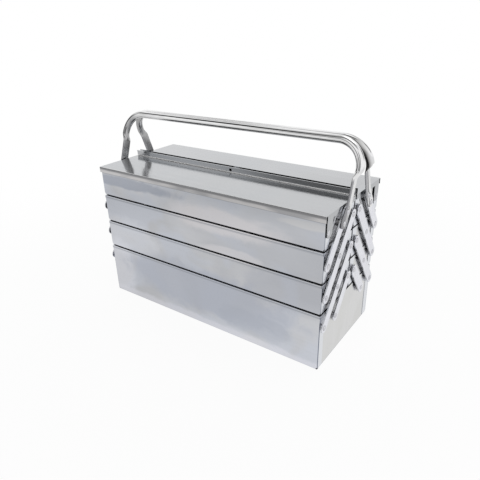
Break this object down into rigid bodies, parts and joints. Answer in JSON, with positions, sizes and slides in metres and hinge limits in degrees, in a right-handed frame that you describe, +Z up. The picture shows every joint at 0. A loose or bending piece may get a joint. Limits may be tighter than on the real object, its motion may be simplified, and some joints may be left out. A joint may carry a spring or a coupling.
{
  "type": "cantilever tool box",
  "caption": "Folded stainless sheet tool box whose trays swing out on parallel riveted arms, with a lid over each upper tray and paired bent tube carrying handles.",
  "frame": {"origin": "middle of the footprint, on the surface that the box stands on", "axes": "+X along the box to the right end, +Y to the rear, +Z up"},
  "size_m": [0.4944, 0.2028, 0.3523],
  "materials": {
    "body_sheet": "polished",
    "lid_sheet": "satin",
    "arm_steel": "bright",
    "handle_tube": "polished",
    "rivet_steel": "bright",
    "washer_steel": "dull"
  },
  "bodies": {
    "base": {"base_shell": "body_sheet", "base_left_end": "body_sheet", "base_right_end": "body_sheet", "base_rivets": "rivet_steel", "base_washers": "washer_steel"},
    "front_lower_tray": {"front_lower_tray_shell": "body_sheet", "front_lower_tray_left_end": "body_sheet", "front_lower_tray_right_end": "body_sheet", "front_lower_tray_rivets": "rivet_steel", "front_lower_tray_washers": "washer_steel"},
    "front_middle_tray": {"front_middle_tray_shell": "body_sheet", "front_middle_tray_left_end": "body_sheet", "front_middle_tray_right_end": "body_sheet", "front_middle_tray_rivets": "rivet_steel", "front_middle_tray_washers": "washer_steel"},
    "front_upper_tray": {"front_upper_tray_shell": "body_sheet", "front_upper_tray_left_end": "body_sheet", "front_upper_tray_right_end": "body_sheet", "front_upper_tray_rivets": "rivet_steel", "front_upper_tray_washers": "washer_steel", "front_lid_rivets": "rivet_steel"},
    "front_main_arms": {"front_left_main_arm": "arm_steel", "front_right_main_arm": "arm_steel"},
    "front_lower_arms": {"front_left_lower_arm": "arm_steel", "front_right_lower_arm": "arm_steel"},
    "front_upper_arms": {"front_left_upper_arm": "arm_steel", "front_right_upper_arm": "arm_steel"},
    "front_handle_arms": {"front_left_handle_arm": "arm_steel", "front_right_handle_arm": "arm_steel", "front_handle": "handle_tube", "front_handle_rivets": "rivet_steel"},
    "front_lid": {"front_lid": "lid_sheet"},
    "rear_lower_tray": {"rear_lower_tray_shell": "body_sheet", "rear_lower_tray_left_end": "body_sheet", "rear_lower_tray_right_end": "body_sheet", "rear_lower_tray_rivets": "rivet_steel", "rear_lower_tray_washers": "washer_steel"},
    "rear_middle_tray": {"rear_middle_tray_shell": "body_sheet", "rear_middle_tray_left_end": "body_sheet", "rear_middle_tray_right_end": "body_sheet", "rear_middle_tray_rivets": "rivet_steel", "rear_middle_tray_washers": "washer_steel"},
    "rear_upper_tray": {"rear_upper_tray_shell": "body_sheet", "rear_upper_tray_left_end": "body_sheet", "rear_upper_tray_right_end": "body_sheet", "rear_upper_tray_rivets": "rivet_steel", "rear_upper_tray_washers": "washer_steel", "rear_lid_rivets": "rivet_steel"},
    "rear_main_arms": {"rear_left_main_arm": "arm_steel", "rear_right_main_arm": "arm_steel"},
    "rear_lower_arms": {"rear_left_lower_arm": "arm_steel", "rear_right_lower_arm": "arm_steel"},
    "rear_upper_arms": {"rear_left_upper_arm": "arm_steel", "rear_right_upper_arm": "arm_steel"},
    "rear_handle_arms": {"rear_left_handle_arm": "arm_steel", "rear_right_handle_arm": "arm_steel", "rear_handle": "handle_tube", "rear_handle_rivets": "rivet_steel"},
    "rear_lid": {"rear_lid": "lid_sheet"}
  },
  "joints": [
    {"name": "front_open", "type": "hinge", "parent": "base", "child": "front_main_arms", "pos_m": [0, -0.092, 0.078], "axis": [1, 0, 0], "range_deg": [0, 74]},
    {"name": "front_lower_arms_swing", "type": "hinge", "parent": "base", "child": "front_lower_arms", "pos_m": [0, -0.052, 0.078], "axis": [1, 0, 0], "range_deg": [0, 74]},
    {"name": "front_lower_tray_level", "type": "hinge", "parent": "front_main_arms", "child": "front_lower_tray", "pos_m": [0, -0.052, 0.131], "axis": [1, 0, 0], "range_deg": [-74, 0]},
    {"name": "front_middle_tray_level", "type": "hinge", "parent": "front_main_arms", "child": "front_middle_tray", "pos_m": [0, -0.012, 0.184], "axis": [1, 0, 0], "range_deg": [-74, 0]},
    {"name": "front_upper_arms_swing", "type": "hinge", "parent": "front_lower_tray", "child": "front_upper_arms", "pos_m": [0, -0.092, 0.131], "axis": [1, 0, 0], "range_deg": [0, 74]},
    {"name": "front_upper_tray_level", "type": "hinge", "parent": "front_upper_arms", "child": "front_upper_tray", "pos_m": [0, -0.012, 0.237], "axis": [1, 0, 0], "range_deg": [-74, 0]},
    {"name": "front_handle_arms_swing", "type": "hinge", "parent": "front_middle_tray", "child": "front_handle_arms", "pos_m": [0, -0.092, 0.184], "axis": [1, 0, 0], "range_deg": [0, 74]},
    {"name": "front_lid_hinge", "type": "hinge", "parent": "front_upper_tray", "child": "front_lid", "pos_m": [0, -0.091, 0.235], "axis": [1, 0, 0], "range_deg": [0, 85]},
    {"name": "rear_open", "type": "hinge", "parent": "base", "child": "rear_main_arms", "pos_m": [0, 0.092, 0.078], "axis": [-1, 0, 0], "range_deg": [0, 74]},
    {"name": "rear_lower_arms_swing", "type": "hinge", "parent": "base", "child": "rear_lower_arms", "pos_m": [0, 0.052, 0.078], "axis": [-1, 0, 0], "range_deg": [0, 74]},
    {"name": "rear_lower_tray_level", "type": "hinge", "parent": "rear_main_arms", "child": "rear_lower_tray", "pos_m": [0, 0.052, 0.131], "axis": [-1, 0, 0], "range_deg": [-74, 0]},
    {"name": "rear_middle_tray_level", "type": "hinge", "parent": "rear_main_arms", "child": "rear_middle_tray", "pos_m": [0, 0.012, 0.184], "axis": [-1, 0, 0], "range_deg": [-74, 0]},
    {"name": "rear_upper_arms_swing", "type": "hinge", "parent": "rear_lower_tray", "child": "rear_upper_arms", "pos_m": [0, 0.092, 0.131], "axis": [-1, 0, 0], "range_deg": [0, 74]},
    {"name": "rear_upper_tray_level", "type": "hinge", "parent": "rear_upper_arms", "child": "rear_upper_tray", "pos_m": [0, 0.012, 0.237], "axis": [-1, 0, 0], "range_deg": [-74, 0]},
    {"name": "rear_handle_arms_swing", "type": "hinge", "parent": "rear_middle_tray", "child": "rear_handle_arms", "pos_m": [0, 0.092, 0.184], "axis": [-1, 0, 0], "range_deg": [0, 74]},
    {"name": "rear_lid_hinge", "type": "hinge", "parent": "rear_upper_tray", "child": "rear_lid", "pos_m": [0, 0.091, 0.235], "axis": [-1, 0, 0], "range_deg": [0, 85]}
  ],
  "couplings": [
    {"joint": "front_lower_arms_swing", "follows": "front_open", "ratio": 1},
    {"joint": "front_lower_tray_level", "follows": "front_open", "ratio": -1},
    {"joint": "front_middle_tray_level", "follows": "front_open", "ratio": -1},
    {"joint": "front_upper_arms_swing", "follows": "front_open", "ratio": 1},
    {"joint": "front_upper_tray_level", "follows": "front_open", "ratio": -1},
    {"joint": "front_handle_arms_swing", "follows": "front_open", "ratio": 1},
    {"joint": "rear_lower_arms_swing", "follows": "rear_open", "ratio": 1},
    {"joint": "rear_lower_tray_level", "follows": "rear_open", "ratio": -1},
    {"joint": "rear_middle_tray_level", "follows": "rear_open", "ratio": -1},
    {"joint": "rear_upper_arms_swing", "follows": "rear_open", "ratio": 1},
    {"joint": "rear_upper_tray_level", "follows": "rear_open", "ratio": -1},
    {"joint": "rear_handle_arms_swing", "follows": "rear_open", "ratio": 1}
  ]
}
